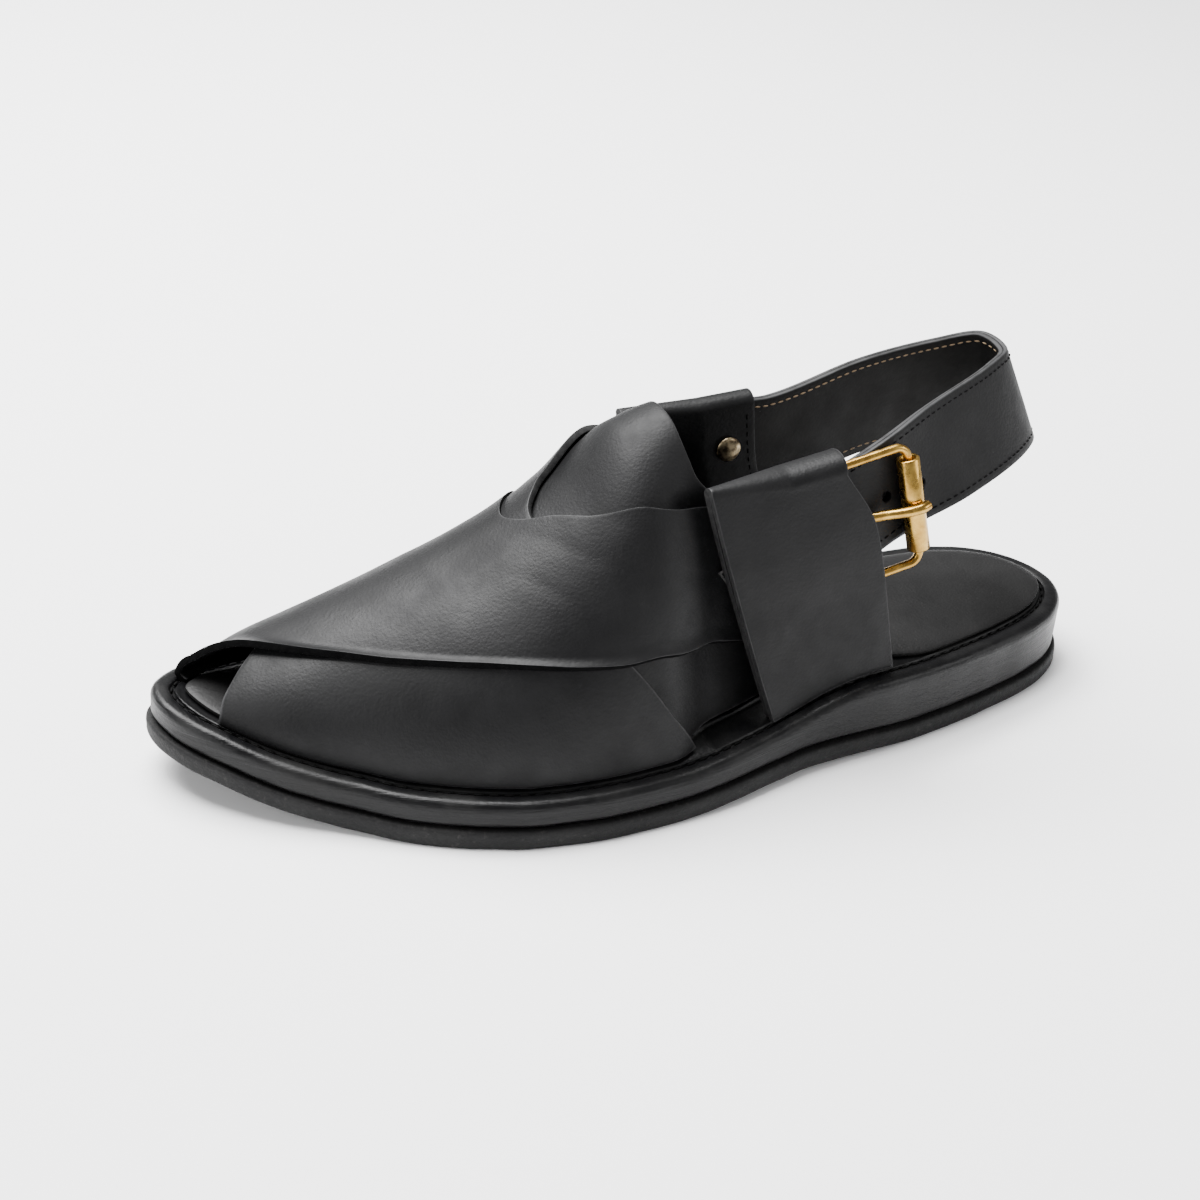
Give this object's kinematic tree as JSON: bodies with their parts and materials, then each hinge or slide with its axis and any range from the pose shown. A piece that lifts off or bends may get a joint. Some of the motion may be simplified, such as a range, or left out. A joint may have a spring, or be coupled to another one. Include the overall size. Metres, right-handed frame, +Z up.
{
  "type": "peshawari chappal",
  "caption": "Left leather sandal with crossed straps over a tongue, folded side pieces and a buckled heel strap on a stacked sole.",
  "frame": {"origin": "on the floor, under the centre of the heel seat", "axes": "toe points to -Y, heel to +Y, +X to the lateral side that carries the buckle, +Z up"},
  "size_m": [0.1073, 0.292, 0.102],
  "materials": {
    "outsole_rubber": "matte, slightly rough",
    "midsole_leather": "satin, with a burnished top edge",
    "insole_leather": "matte",
    "strap_leather": "matte to satin, fine grain",
    "heel_strap_leather": "matte to satin, stitched",
    "guard_suede": "suede",
    "brass": "polished",
    "rivet_brass": "antique, satin"
  },
  "bodies": {
    "root": {"outsole": "outsole_rubber", "midsole": "midsole_leather", "insole": "insole_leather", "upper": "strap_leather", "tongue": "strap_leather", "quarter_lateral": "strap_leather", "quarter_medial": "strap_leather", "heel_strap": "heel_strap_leather", "buckle_guard": "guard_suede", "buckle_frame": "brass", "buckle_roller": "brass", "buckle_prong": "brass", "rivet_outer_1": "rivet_brass", "rivet_outer_2": "rivet_brass", "rivet_inner_1": "rivet_brass", "rivet_inner_2": "rivet_brass", "rivet_back_lateral": "rivet_brass"}
  },
  "joints": []
}
